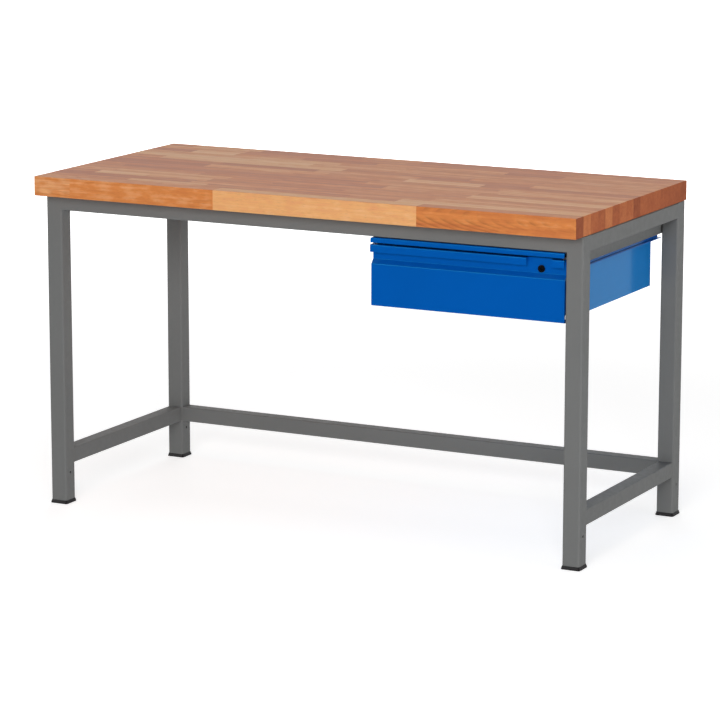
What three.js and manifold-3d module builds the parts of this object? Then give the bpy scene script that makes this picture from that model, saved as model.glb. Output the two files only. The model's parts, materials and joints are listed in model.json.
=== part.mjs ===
// Workbench with a solid beech worktop, a welded square-tube frame and one lockable steel drawer.
// Millimetres, +Z up, the floor at Z = 0, the front facing -Y, the worktop centred on X and Y.

import * as THREE from "three";
import { mergeVertices } from "three/addons/utils/BufferGeometryUtils.js";
import Module from "manifold-3d";

const wasm = await Module();
wasm.setup();

// Worktop
const TOP_WIDTH = 1500;
const TOP_DEPTH = 700;
const TOP_THICKNESS = 50;
const TOP_ARRIS = 1.2;
const WORK_HEIGHT = 865;

// Legs, square tube
const LEG_SIZE = 45;
const LEG_WALL = 2;
const LEG_CORNER_RADIUS = 5;
const LEG_END_INSET = 2.5;
const LEG_FRONT_INSET = 52;
const LEG_BACK_INSET = 2.5;
const LEG_HOLE_DIAMETER = 7;
const LEG_HOLE_HEIGHT = 81;

// Plastic feet pressed into the legs
const FOOT_HEIGHT = 9;
const FOOT_SOLE_HEIGHT = 2.5;
const FOOT_FLARE = 2.5;
const FOOT_BRIM = 0.6;
const FOOT_PLUG_LENGTH = 24;
const FOOT_PLUG_LEAD = 2;

// Rails of the frame
const RAIL_WALL = 2;
const RAIL_CORNER_RADIUS = 4;
const UPPER_RAIL_HEIGHT = 40;
const LOWER_RAIL_HEIGHT = 40;
const LOWER_RAIL_INSET = 2.5;
const LOWER_RAIL_CLEAR_BELOW = 102;

// Plates between the rails and the worktop, and their wood screws
const PLATE_THICKNESS = 2;
const PLATE_WIDTH = 50;
const PLATE_REACH = 32;
const PLATE_LAP = 34;
const PLATE_CORNER_RADIUS = 8;
const PLATE_SPACING = 900;
const WOOD_SCREW_DIAMETER = 5;
const WOOD_SCREW_BITE = 28;
const WOOD_SCREW_POINT = 5;
const WOOD_SCREW_TIP = 1.2;

// Carriers, the two angles that hang the drawer housing under the rails
const CARRIER_SHEET = 2;
const CARRIER_BEND = 2;
const CARRIER_DROP = 41;
const CARRIER_FLANGE = 45;
const CARRIER_LEG_CLEARANCE = 1.9;
const CARRIER_HOUSING_CLEARANCE = 0.3;
const CARRIER_FRONT_CLEARANCE = 3;
const CARRIER_BACK_SETBACK = 10;
const CARRIER_SCREW_INSET = 12;
const CARRIER_SCREW_DIAMETER = 5;
const CARRIER_SCREW_BITE = 9;
const CARRIER_SCREW_POINT = 2;
const CARRIER_SCREW_TIP = 2;

// Drawer housing, a folded hood with a skirt flange along each wall
const HOUSING_WIDTH = 515;
const HOUSING_BACK_CLEARANCE = 16.5;
const HOUSING_SHEET = 1.5;
const HOUSING_BEND = 2;
const HOUSING_SIDE_DROP = 46.5;
const HOUSING_SIDE_CLEARANCE = 3;
const HOUSING_SKIRT = 11;
const HOUSING_SKIRT_LEG_CLEARANCE = 3;
const HOUSING_FRONT_DROP = 12.5;
const HOUSING_BACK_DROP = 20;
const HOUSING_CORNER_RADIUS = 4;
const HOUSING_BOLT_DIAMETER = 6;
const HOUSING_BOLT_INSET = 26;
const HOUSING_BOLT_RAIL_CLEARANCE = 35;
const HOUSING_BOLT_BACK_INSET = 80;
const CLINCH_NUT_DIAMETER = 12;
const CLINCH_NUT_HEIGHT = 4;
const HOUSING_BOLT_PROUD = 2;
const HOUSING_BOLT_POINT = 1;
const HOUSING_BOLT_TIP = 4;

// Button heads of all screws and bolts
const HEAD_HEIGHT = 3;
const HEAD_OVERHANG = 3;
const HEAD_EDGE = 1;
const HEAD_EDGE_INSET = 0.3;
const HEAD_CROWN_INSET = 2.5;

// Ball-bearing slides: nested channels and the ball cages between them
const SLIDE_TRAVEL = 480;
const SLIDE_HEIGHT = 30;
const SLIDE_SHEET = 1.2;
const SLIDE_BEND = 0.5;
const SLIDE_RUNNING_GAP = 0.5;
const SLIDE_INNER_FLANGE = 6.3;
const SLIDE_FRONT_SETBACK = 1;
const SLIDE_BACK_SETBACK = 10;
const CAGE_SHEET = 1;
const CAGE_END_MARGIN = 5;

// Drawer box
const BOX_BACK_CLEARANCE = 6;
const BOX_SHEET = 1.2;
const BOX_CORNER_RADIUS = 2.5;
const BOX_HEM = 10;
const BOX_TOP_DROP = 2;

// Drawer front, one folded sheet with a grip lip over a recessed neck
const FRONT_SHEET = 1.5;
const FRONT_BEND = 1.5;
const FRONT_GAP = 4.5;
const FRONT_RETURN_GAP = 0.3;
const FACE_SETBACK = 5;
const FACE_HEIGHT = 103.5;
const SLOPE_HEIGHT = 11.5;
const NECK_HEIGHT = 38;
const NECK_RECESS = 10.5;
const LIP_REACH = 17.5;
const LIP_HEIGHT = 18.8;

// Nylon buffers in the side returns of the drawer front
const BUFFER_RISE = 8.5;
const BUFFER_HEIGHT = 11.5;
const BUFFER_PROUD = 1.2;
const BUFFER_HOLD = 2;
const BUFFER_MARGIN = 2;

// Cylinder lock and its keeper
const LOCK_EDGE_DISTANCE = 65;
const LOCK_RISE = 1.8;
const LOCK_BAY_WIDTH = 65;
const LOCK_ROSE_DIAMETER = 18.5;
const LOCK_ROSE_HEIGHT = 3;
const LOCK_ROSE_EDGE = 1;
const LOCK_BODY_DIAMETER = 16;
const LOCK_BODY_LENGTH = 22;
const LOCK_PLUG_DIAMETER = 11;
const LOCK_PLUG_PROUD = 0.4;
const LOCK_TANG_DIAMETER = 6;
const LOCK_NUT_WIDTH = 22;
const LOCK_NUT_HEIGHT = 5;
const KEYWAY_WIDTH = 1.8;
const KEYWAY_HEIGHT = 8;
const KEYWAY_DEPTH = 6;
const KEYWAY_ANGLE = -0.8;
const CAM_SHEET = 2;
const CAM_LENGTH = 34;
const CAM_HUB_RADIUS = 7;
const CAM_TIP_RADIUS = 5;
const CAM_SCREW_DIAMETER = 3;
const CAM_SCREW_BITE = 6;
const CAM_SCREW_POINT = 1;
const CAM_SCREW_TIP = 1.5;
const KEEPER_SHEET = 1.5;
const KEEPER_BEND = 1;
const KEEPER_WIDTH = 30;
const KEEPER_FLANGE = 18;
const KEEPER_GAP = 2;
const KEEPER_BOX_CLEARANCE = 2.3;

// Clearances and facet counts shared by all pieces
const FIT = 0.3;
const OVERCUT = 1;
const ARC_STEPS = 4;
const BEND_STEPS = 4;
const ROUND_STEPS = 20;
const SCREW_STEPS = 12;

// Levels and planes worked out from the sizes
const frameTop = WORK_HEIGHT - TOP_THICKNESS - PLATE_THICKNESS;
const railUnderside = frameTop - UPPER_RAIL_HEIGHT;
const legX = TOP_WIDTH / 2 - LEG_END_INSET - LEG_SIZE / 2;
const legFrontY = -TOP_DEPTH / 2 + LEG_FRONT_INSET + LEG_SIZE / 2;
const legBackY = TOP_DEPTH / 2 - LEG_BACK_INSET - LEG_SIZE / 2;
const railSpanX = 2 * legX - LEG_SIZE;
const railSpanY = legBackY - legFrontY - LEG_SIZE;
const railMiddleY = (legFrontY + legBackY) / 2;
const frameFrontY = legFrontY - LEG_SIZE / 2;
const frameDepth = legBackY - legFrontY + LEG_SIZE;

// Drawer unit: X from its middle, Y from the frame's front plane, Z from the underside of the rails
const housingHalf = HOUSING_WIDTH / 2;
const carrierOffset = CARRIER_HOUSING_CLEARANCE + CARRIER_SHEET;
const unitX = legX - LEG_SIZE / 2 - CARRIER_LEG_CLEARANCE - carrierOffset - housingHalf;
const housingTop = -CARRIER_SHEET;
const housingCeiling = housingTop - HOUSING_SHEET;
const housingSideBottom = housingTop - HOUSING_SIDE_DROP;
const housingWallLow = housingSideBottom + HOUSING_SHEET + HOUSING_BEND;
const housingDepth = frameDepth - LEG_SIZE - HOUSING_BACK_CLEARANCE;
const slideX = housingHalf - HOUSING_SHEET;
const slideThickness = 2 * SLIDE_SHEET + 2 * CAGE_SHEET + 4 * SLIDE_RUNNING_GAP + SLIDE_INNER_FLANGE;
const slideZ = housingWallLow + SLIDE_HEIGHT / 2;
const frontTop = housingTop - HOUSING_FRONT_DROP - FRONT_GAP;
const frontBottom = frontTop - NECK_HEIGHT - SLOPE_HEIGHT - FACE_HEIGHT;
const neckY = FACE_SETBACK + NECK_RECESS;
const lipY = neckY - LIP_REACH;
const boxFrontY = neckY + FRONT_SHEET;
const boxBackY = housingDepth - BOX_BACK_CLEARANCE;
const boxDepth = boxBackY - boxFrontY;
const boxHalf = slideX - slideThickness;
const boxTop = frontTop - BOX_TOP_DROP;
const slideFrontY = boxFrontY + SLIDE_FRONT_SETBACK;
const slideLength = boxDepth - SLIDE_FRONT_SETBACK - SLIDE_BACK_SETBACK;
const lockX = housingHalf - LOCK_EDGE_DISTANCE;
const lockZ = frontTop - NECK_HEIGHT + LOCK_RISE + LOCK_ROSE_DIAMETER / 2;
const camY = neckY + LOCK_BODY_LENGTH + FIT;

const SIDES = { left: -1, right: 1 };

// Turns a closed geometry into a body that can be joined and cut
function toBody(geometry) {
  const bare = geometry.clone();
  bare.deleteAttribute("normal");
  bare.deleteAttribute("uv");
  const merged = mergeVertices(bare);
  const vertProperties = new Float32Array(merged.attributes.position.array);
  const triVerts = new Uint32Array(merged.index.array);
  return new wasm.Manifold(new wasm.Mesh({ numProp: 3, vertProperties, triVerts }));
}

// Turns a body back into a flat-shaded geometry
function toGeometry(body) {
  const mesh = body.getMesh();
  const indexed = new THREE.BufferGeometry();
  indexed.setAttribute("position", new THREE.BufferAttribute(mesh.vertProperties, 3));
  indexed.setIndex(new THREE.BufferAttribute(mesh.triVerts, 1));
  const geometry = indexed.toNonIndexed();
  geometry.computeVertexNormals();
  return geometry;
}

function cut(geometry, tools) {
  return toGeometry(tools.reduce((body, tool) => body.subtract(toBody(tool)), toBody(geometry)));
}

function join(geometries) {
  const [first, ...others] = geometries.map(toBody);
  return toGeometry(others.reduce((body, other) => body.add(other), first));
}

function common(geometry, limit) {
  return toGeometry(toBody(geometry).intersect(toBody(limit)));
}

// Extrudes an outline along +Z, from low to high
function alongZ(outline, low, high) {
  const options = { depth: high - low, bevelEnabled: false, curveSegments: ARC_STEPS };
  return new THREE.ExtrudeGeometry(outline, options).translate(0, 0, low);
}

const AXIS_X = new THREE.Vector3(1, 0, 0);
const AXIS_Y = new THREE.Vector3(0, 1, 0);
const AXIS_Z = new THREE.Vector3(0, 0, 1);
const ORIGIN = new THREE.Vector2(0, 0);

// Extrudes an outline drawn in (Y, Z) along +X
function alongX(outline, low, high) {
  return alongZ(outline, low, high).applyMatrix4(new THREE.Matrix4().makeBasis(AXIS_Y, AXIS_Z, AXIS_X));
}

// Extrudes an outline drawn in (X, Z) along +Y
function alongY(outline, low, high) {
  const turn = new THREE.Matrix4().makeBasis(AXIS_X, AXIS_Z, AXIS_Y.clone().negate());
  return alongZ(outline, -high, -low).applyMatrix4(turn);
}

// Box between two corners
function block(x0, x1, y0, y1, z0, z1) {
  const box = new THREE.BoxGeometry(Math.abs(x1 - x0), y1 - y0, z1 - z0);
  return box.translate((x0 + x1) / 2, (y0 + y1) / 2, (z0 + z1) / 2);
}

// Diameter of the hole that clears a round piece
function holeFor(diameter) {
  return diameter + 2 * FIT;
}

// Round bar along one axis, used as a drill
function drillZ(diameter, x, y, low, high) {
  const bar = new THREE.CylinderGeometry(diameter / 2, diameter / 2, high - low, ROUND_STEPS);
  return bar.rotateX(Math.PI / 2).translate(x, y, (low + high) / 2);
}

function drillY(diameter, x, z, low, high) {
  const bar = new THREE.CylinderGeometry(diameter / 2, diameter / 2, high - low, ROUND_STEPS);
  return bar.translate(x, (low + high) / 2, z);
}

function drillX(diameter, y, z, low, high) {
  const bar = new THREE.CylinderGeometry(diameter / 2, diameter / 2, high - low, ROUND_STEPS);
  return bar.rotateZ(Math.PI / 2).translate((low + high) / 2, y, z);
}

// Rectangle about the origin with round corners
function roundedRectangle(width, height, radius) {
  const x = width / 2 - radius;
  const y = height / 2 - radius;
  const quarter = Math.PI / 2;
  const outline = new THREE.Shape();
  outline.absarc(x, -y, radius, -quarter, 0, false);
  outline.absarc(x, y, radius, 0, quarter, false);
  outline.absarc(-x, y, radius, quarter, 2 * quarter, false);
  outline.absarc(-x, -y, radius, 2 * quarter, 3 * quarter, false);
  outline.closePath();
  return outline;
}

// Radius inside a wall, from the radius outside it
function innerRadius(radius, wall) {
  return Math.max(radius - wall, wall / 4);
}

// Section of a rectangular tube with round corners
function tubeSection(width, height, wall, radius) {
  const section = roundedRectangle(width, height, radius);
  section.holes.push(roundedRectangle(width - 2 * wall, height - 2 * wall, innerRadius(radius, wall)));
  return section;
}

// Section of a folded sheet: a path along its middle plane, with every corner bent to one radius
function foldedSection(path, sheet, bend) {
  const left = [];
  const right = [];
  const middleRadius = bend + sheet / 2;
  const last = path.length - 1;
  path.forEach((corner, index) => {
    const before = corner.clone().sub(path[Math.max(index - 1, 0)]);
    const after = path[Math.min(index + 1, last)].clone().sub(corner);
    const arrive = (index === 0 ? after : before).clone().normalize();
    const leave = (index === last ? before : after).clone().normalize();
    const normal = new THREE.Vector2(-arrive.y, arrive.x);
    const turn = Math.atan2(arrive.cross(leave), arrive.dot(leave));
    if (turn === 0) {
      left.push(corner.clone().addScaledVector(normal, sheet / 2));
      right.push(corner.clone().addScaledVector(normal, -sheet / 2));
      return;
    }
    const hand = Math.sign(turn);
    const setback = middleRadius * Math.tan(Math.abs(turn) / 2);
    const bendStart = corner.clone().addScaledVector(arrive, -setback);
    const centre = bendStart.addScaledVector(normal, hand * middleRadius);
    for (let step = 0; step <= BEND_STEPS; step += 1) {
      const spoke = normal.clone().multiplyScalar(-hand);
      spoke.rotateAround(ORIGIN, (turn * step) / BEND_STEPS);
      left.push(centre.clone().addScaledVector(spoke, middleRadius - (hand * sheet) / 2));
      right.push(centre.clone().addScaledVector(spoke, middleRadius + (hand * sheet) / 2));
    }
  });
  return new THREE.Shape([...left, ...right.reverse()]);
}

function pathOf(...points) {
  return points.map(([u, v]) => new THREE.Vector2(u, v));
}

// Solid through a stack of like outlines, each at its own height, with flat ends
function loft(levels) {
  const rings = levels.map(({ outline, z }) => {
    const points = outline.getPoints(ARC_STEPS).slice(0, -1);
    return points.map((point) => [point.x, point.y, z]);
  });
  const count = rings[0].length;
  const positions = rings.flat(2);
  const index = [];
  for (let ring = 0; ring + 1 < rings.length; ring += 1) {
    for (let side = 0; side < count; side += 1) {
      const a = ring * count + side;
      const b = ring * count + ((side + 1) % count);
      index.push(a, b, b + count, a, b + count, a + count);
    }
  }
  const top = (rings.length - 1) * count;
  for (let side = 1; side + 1 < count; side += 1) {
    index.push(0, side + 1, side, top, top + side, top + side + 1);
  }
  const geometry = new THREE.BufferGeometry();
  geometry.setAttribute("position", new THREE.Float32BufferAttribute(positions, 3));
  geometry.setIndex(index);
  const flat = geometry.toNonIndexed();
  flat.computeVertexNormals();
  return flat;
}

// Turned piece about Y from (radius, height) points
function turned(steps, ...points) {
  return new THREE.LatheGeometry(pathOf(...points), steps);
}

// Button-head screw with its head's seat at the origin, its shank along +Y and its point cut to the tip
function screwAlongY(diameter, shank, point, tip) {
  const head = diameter / 2 + HEAD_OVERHANG;
  return turned(
    SCREW_STEPS,
    [0, -HEAD_HEIGHT],
    [head - HEAD_CROWN_INSET, -HEAD_HEIGHT],
    [head - HEAD_EDGE_INSET, -HEAD_EDGE],
    [head, 0],
    [diameter / 2, 0],
    [diameter / 2, shank - point],
    [tip / 2, shank],
    [0, shank],
  );
}

function screwAlongZ(diameter, shank, point, tip) {
  return screwAlongY(diameter, shank, point, tip).rotateX(Math.PI / 2);
}

// Finishes
function finish(color, roughness, metalness) {
  return () => new THREE.MeshStandardMaterial({ color, roughness, metalness });
}

const beech = finish(0xc98a5b, 0.45, 0);
const greyCoat = finish(0x6c6c69, 0.5, 0.1);
const blueCoat = finish(0x0052aa, 0.2, 0.1);
const blackPlastic = finish(0x151515, 0.5, 0);
const whiteNylon = finish(0xf2f2ee, 0.4, 0);
const zinc = finish(0xb9bdc0, 0.35, 0.9);
const blackLock = finish(0x101010, 0.3, 0.6);

const bench = new THREE.Group();
const frame = new THREE.Group();
const unit = new THREE.Group();
unit.position.set(unitX, frameFrontY, railUnderside);
bench.add(frame, unit);

function place(group, name, geometry, material, x = 0, y = 0, z = 0) {
  const mesh = new THREE.Mesh(geometry, material());
  mesh.name = name;
  mesh.position.set(x, y, z);
  group.add(mesh);
}

// Fixing plates: along a rail's length and inwards from its inner face
const plateSeats = [];
for (const [rank, spot] of [-1, 1].entries()) {
  const x = (spot * PLATE_SPACING) / 2;
  plateSeats.push({ name: `front_${rank + 1}`, x, y: legFrontY + LEG_SIZE / 2, angle: 0 });
  plateSeats.push({ name: `back_${rank + 1}`, x, y: legBackY - LEG_SIZE / 2, angle: Math.PI });
}
for (const [name, side] of Object.entries(SIDES)) {
  const x = side * (legX - LEG_SIZE / 2);
  plateSeats.push({ name, x, y: railMiddleY, angle: (side * Math.PI) / 2 });
}

function plateScrewPoint({ x, y, angle }) {
  const reach = new THREE.Vector2(0, PLATE_REACH / 2);
  return reach.rotateAround(ORIGIN, angle).add(new THREE.Vector2(x, y));
}

// Worktop, one glued block with eased edges and pilot holes underneath
function worktop() {
  const width = TOP_WIDTH - 2 * TOP_ARRIS;
  const depth = TOP_DEPTH - 2 * TOP_ARRIS;
  const outline = new THREE.Shape(pathOf([0, 0], [width, 0], [width, depth], [0, depth]));
  const slab = new THREE.ExtrudeGeometry(outline, {
    depth: TOP_THICKNESS - 2 * TOP_ARRIS,
    bevelEnabled: true,
    bevelThickness: TOP_ARRIS,
    bevelSize: TOP_ARRIS,
    bevelSegments: 1,
  });
  slab.translate(-width / 2, -depth / 2, TOP_ARRIS);
  const pilots = plateSeats.map((seat) => {
    const { x, y } = plateScrewPoint(seat);
    return drillZ(holeFor(WOOD_SCREW_DIAMETER), x, y, -OVERCUT, WOOD_SCREW_BITE + FIT);
  });
  return cut(slab, pilots);
}

place(frame, "worktop", worktop(), beech, 0, 0, WORK_HEIGHT - TOP_THICKNESS);

// Legs and feet
function leg() {
  const section = tubeSection(LEG_SIZE, LEG_SIZE, LEG_WALL, LEG_CORNER_RADIUS);
  const tube = alongZ(section, FOOT_HEIGHT, frameTop);
  return cut(tube, [drillX(LEG_HOLE_DIAMETER, 0, LEG_HOLE_HEIGHT, -LEG_SIZE, LEG_SIZE)]);
}

function foot() {
  const sole = roundedRectangle(LEG_SIZE + 2 * FOOT_FLARE, LEG_SIZE + 2 * FOOT_FLARE, LEG_CORNER_RADIUS);
  const brim = roundedRectangle(LEG_SIZE + 2 * FOOT_BRIM, LEG_SIZE + 2 * FOOT_BRIM, LEG_CORNER_RADIUS);
  const bore = LEG_SIZE - 2 * LEG_WALL - 2 * FIT;
  const plug = roundedRectangle(bore, bore, LEG_CORNER_RADIUS);
  const lead = roundedRectangle(bore - FOOT_PLUG_LEAD, bore - FOOT_PLUG_LEAD, LEG_CORNER_RADIUS);
  return loft([
    { outline: sole, z: 0 },
    { outline: sole, z: FOOT_SOLE_HEIGHT },
    { outline: brim, z: FOOT_HEIGHT },
    { outline: plug, z: FOOT_HEIGHT },
    { outline: plug, z: FOOT_HEIGHT + FOOT_PLUG_LENGTH - FOOT_PLUG_LEAD },
    { outline: lead, z: FOOT_HEIGHT + FOOT_PLUG_LENGTH },
  ]);
}

for (const [sideName, side] of Object.entries(SIDES)) {
  for (const [endName, y] of [["front", legFrontY], ["back", legBackY]]) {
    place(frame, `leg_${endName}_${sideName}`, leg(), greyCoat, side * legX, y, 0);
    place(frame, `foot_${endName}_${sideName}`, foot(), blackPlastic, side * legX, y, 0);
  }
}

// Rails
const carrierScrewX = housingHalf + carrierOffset - CARRIER_FLANGE / 2;
const carrierFrontY = boxFrontY + CARRIER_FRONT_CLEARANCE;
const carrierBackY = frameDepth - CARRIER_BACK_SETBACK;
const carrierScrewFrontY = carrierFrontY + CARRIER_SCREW_INSET;
const carrierScrewBackY = carrierBackY - CARRIER_SCREW_INSET;

function upperRailAlongX(screwY) {
  const section = tubeSection(LEG_SIZE, UPPER_RAIL_HEIGHT, RAIL_WALL, RAIL_CORNER_RADIUS);
  const tube = alongX(section, -railSpanX / 2, railSpanX / 2);
  const drills = Object.values(SIDES).map((side) => {
    const x = unitX + side * carrierScrewX;
    const floor = -UPPER_RAIL_HEIGHT / 2;
    return drillZ(holeFor(CARRIER_SCREW_DIAMETER), x, screwY, floor - OVERCUT, floor + RAIL_WALL + OVERCUT);
  });
  return cut(tube, drills);
}

const upperRailZ = frameTop - UPPER_RAIL_HEIGHT / 2;
const frontRail = upperRailAlongX(frameFrontY + carrierScrewFrontY - legFrontY);
const backRail = upperRailAlongX(frameFrontY + carrierScrewBackY - legBackY);
place(frame, "upper_rail_front", frontRail, greyCoat, 0, legFrontY, upperRailZ);
place(frame, "upper_rail_back", backRail, greyCoat, 0, legBackY, upperRailZ);

function railAlongY(width, height) {
  const section = tubeSection(width, height, RAIL_WALL, RAIL_CORNER_RADIUS);
  return alongY(section, -railSpanY / 2, railSpanY / 2);
}

const lowerRailWidth = LEG_SIZE - 2 * LOWER_RAIL_INSET;
const lowerRailZ = LOWER_RAIL_CLEAR_BELOW + LOWER_RAIL_HEIGHT / 2;
for (const [name, side] of Object.entries(SIDES)) {
  const upper = railAlongY(LEG_SIZE, UPPER_RAIL_HEIGHT);
  const lower = railAlongY(lowerRailWidth, LOWER_RAIL_HEIGHT);
  place(frame, `upper_rail_${name}`, upper, greyCoat, side * legX, railMiddleY, upperRailZ);
  place(frame, `lower_rail_${name}`, lower, greyCoat, side * legX, railMiddleY, lowerRailZ);
}

const lowerBackSection = tubeSection(lowerRailWidth, LOWER_RAIL_HEIGHT, RAIL_WALL, RAIL_CORNER_RADIUS);
const lowerBackRail = alongX(lowerBackSection, -railSpanX / 2, railSpanX / 2);
place(frame, "lower_rail_back", lowerBackRail, greyCoat, 0, legBackY, lowerRailZ);

// Plates welded on the rails, with a wood screw through each
function fixingPlate() {
  const length = PLATE_LAP + PLATE_REACH;
  const outline = roundedRectangle(PLATE_WIDTH, length, PLATE_CORNER_RADIUS);
  const plate = alongZ(outline, 0, PLATE_THICKNESS).translate(0, PLATE_REACH - length / 2, 0);
  const hole = drillZ(holeFor(WOOD_SCREW_DIAMETER), 0, PLATE_REACH / 2, -OVERCUT, PLATE_THICKNESS + OVERCUT);
  return cut(plate, [hole]);
}

for (const seat of plateSeats) {
  const plate = fixingPlate().rotateZ(seat.angle);
  const { x, y } = plateScrewPoint(seat);
  const shank = PLATE_THICKNESS + WOOD_SCREW_BITE;
  const screw = screwAlongZ(WOOD_SCREW_DIAMETER, shank, WOOD_SCREW_POINT, WOOD_SCREW_TIP);
  place(frame, `top_plate_${seat.name}`, plate, greyCoat, seat.x, seat.y, frameTop);
  place(frame, `top_screw_${seat.name}`, screw, zinc, x, y, frameTop);
}

// Carriers with clinched nuts for the housing bolts
const boltX = housingHalf - HOUSING_BOLT_INSET;
const boltRows = {
  front: LEG_SIZE + HOUSING_BOLT_RAIL_CLEARANCE,
  back: housingDepth - HOUSING_BOLT_BACK_INSET,
};

function carrier(side) {
  const webX = side * (housingHalf + CARRIER_HOUSING_CLEARANCE + CARRIER_SHEET / 2);
  const edgeX = side * (housingHalf + carrierOffset - CARRIER_FLANGE);
  const flangeZ = -CARRIER_SHEET / 2;
  const path = pathOf([webX, -CARRIER_DROP], [webX, flangeZ], [edgeX, flangeZ]);
  const angle = alongY(foldedSection(path, CARRIER_SHEET, CARRIER_BEND), carrierFrontY, carrierBackY);
  const x = side * boltX;
  const nuts = Object.values(boltRows).map((y) =>
    drillZ(CLINCH_NUT_DIAMETER, x, y, flangeZ, CLINCH_NUT_HEIGHT));
  const low = -CARRIER_SHEET - OVERCUT;
  const boltHoles = Object.values(boltRows).map((y) =>
    drillZ(holeFor(HOUSING_BOLT_DIAMETER), x, y, low, CLINCH_NUT_HEIGHT + OVERCUT));
  const screwHoles = [carrierScrewFrontY, carrierScrewBackY].map((y) =>
    drillZ(holeFor(CARRIER_SCREW_DIAMETER), side * carrierScrewX, y, low, OVERCUT));
  return cut(join([angle, ...nuts]), [...boltHoles, ...screwHoles]);
}

// Housing: side walls and ceiling in one fold, a front strip, a back flange and skirts behind the front legs
function housing() {
  const sideFrontY = boxFrontY + HOUSING_SIDE_CLEARANCE;
  const wallX = housingHalf - HOUSING_SHEET / 2;
  const ceilingZ = housingTop - HOUSING_SHEET / 2;
  const hoodPath = pathOf(
    [-wallX, housingWallLow],
    [-wallX, ceilingZ],
    [wallX, ceilingZ],
    [wallX, housingWallLow],
  );
  const hood = alongY(foldedSection(hoodPath, HOUSING_SHEET, HOUSING_BEND), sideFrontY, housingDepth);
  const stripY = HOUSING_SHEET / 2;
  const stripPath = pathOf(
    [stripY, housingTop - HOUSING_FRONT_DROP],
    [stripY, ceilingZ],
    [sideFrontY + OVERCUT, ceilingZ],
  );
  const strip = alongX(foldedSection(stripPath, HOUSING_SHEET, HOUSING_BEND), -housingHalf, housingHalf);
  const backY = housingDepth - HOUSING_SHEET / 2;
  const backPath = pathOf(
    [housingDepth - HOUSING_BACK_DROP, ceilingZ],
    [backY, ceilingZ],
    [backY, housingTop - HOUSING_BACK_DROP],
  );
  const back = alongX(foldedSection(backPath, HOUSING_SHEET, HOUSING_BEND), -wallX, wallX);
  const limitHeight = HOUSING_SIDE_DROP + HOUSING_CORNER_RADIUS;
  const limitOutline = roundedRectangle(HOUSING_WIDTH, limitHeight, HOUSING_CORNER_RADIUS);
  const limit = alongY(limitOutline, 0, housingDepth).translate(0, 0, housingTop - limitHeight / 2);
  const pieces = [common(join([hood, strip, back]), limit)];
  const skirtZ = housingSideBottom + HOUSING_SHEET / 2;
  const skirtFrontY = LEG_SIZE + HOUSING_SKIRT_LEG_CLEARANCE;
  const drills = [];
  for (const side of Object.values(SIDES)) {
    const skirtPath = pathOf(
      [side * wallX, housingWallLow + OVERCUT],
      [side * wallX, skirtZ],
      [side * (housingHalf + HOUSING_SKIRT), skirtZ],
    );
    pieces.push(alongY(foldedSection(skirtPath, HOUSING_SHEET, HOUSING_BEND), skirtFrontY, housingDepth));
    for (const y of Object.values(boltRows)) {
      const boltHole = holeFor(HOUSING_BOLT_DIAMETER);
      drills.push(drillZ(boltHole, side * boltX, y, housingCeiling - OVERCUT, housingTop + OVERCUT));
    }
    for (const y of [carrierScrewFrontY, carrierScrewBackY]) {
      const headHole = holeFor(CARRIER_SCREW_DIAMETER + 2 * HEAD_OVERHANG);
      drills.push(drillZ(headHole, side * carrierScrewX, y, housingCeiling - OVERCUT, housingTop + OVERCUT));
    }
  }
  return cut(join(pieces), drills);
}

place(unit, "drawer_housing", housing(), blueCoat);

for (const [name, side] of Object.entries(SIDES)) {
  place(unit, `carrier_${name}`, carrier(side), greyCoat);
  for (const [row, y] of [["front", carrierScrewFrontY], ["back", carrierScrewBackY]]) {
    const shank = CARRIER_SHEET + CARRIER_SCREW_BITE;
    const screw = screwAlongZ(CARRIER_SCREW_DIAMETER, shank, CARRIER_SCREW_POINT, CARRIER_SCREW_TIP);
    place(unit, `carrier_screw_${row}_${name}`, screw, zinc, side * carrierScrewX, y, -CARRIER_SHEET);
  }
  for (const [row, y] of Object.entries(boltRows)) {
    const shank = CLINCH_NUT_HEIGHT + HOUSING_BOLT_PROUD - housingCeiling;
    const bolt = screwAlongZ(HOUSING_BOLT_DIAMETER, shank, HOUSING_BOLT_POINT, HOUSING_BOLT_TIP);
    place(unit, `housing_bolt_${row}_${name}`, bolt, zinc, side * boltX, y, housingCeiling);
  }
}

// Slides: each channel opens towards the drawer, and the innermost one opens back towards the housing
const cageStep = CAGE_SHEET + SLIDE_RUNNING_GAP;
const memberStep = SLIDE_SHEET + SLIDE_RUNNING_GAP;
const cageLength = slideLength - SLIDE_TRAVEL / 2 - 2 * CAGE_END_MARGIN;
const cageFrontY = slideFrontY + SLIDE_TRAVEL / 4 + CAGE_END_MARGIN;
const innerWeb = slideThickness - SLIDE_SHEET;
const memberReach = innerWeb - SLIDE_RUNNING_GAP;
const innerReach = slideThickness - SLIDE_INNER_FLANGE;
const slideLayers = [
  { name: "outer", web: 0, sheet: SLIDE_SHEET, reach: memberReach - memberStep, cage: false },
  { name: "outer_cage", web: memberStep, sheet: CAGE_SHEET, reach: memberReach - memberStep, cage: true },
  { name: "middle", web: memberStep + cageStep, sheet: SLIDE_SHEET, reach: memberReach, cage: false },
  { name: "inner_cage", web: 2 * memberStep + cageStep, sheet: CAGE_SHEET, reach: memberReach, cage: true },
  { name: "inner", web: slideThickness, sheet: SLIDE_SHEET, reach: innerReach, cage: false },
];

function channel(side, layer, halfHeight) {
  const inwards = Math.sign(layer.reach - layer.web);
  const webX = side * (slideX - layer.web - (inwards * layer.sheet) / 2);
  const edgeX = side * (slideX - layer.reach);
  const flange = halfHeight - layer.sheet / 2;
  const path = pathOf([edgeX, -flange], [webX, -flange], [webX, flange], [edgeX, flange]);
  const front = layer.cage ? cageFrontY : slideFrontY;
  const length = layer.cage ? cageLength : slideLength;
  return alongY(foldedSection(path, layer.sheet, SLIDE_BEND), front, front + length);
}

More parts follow.
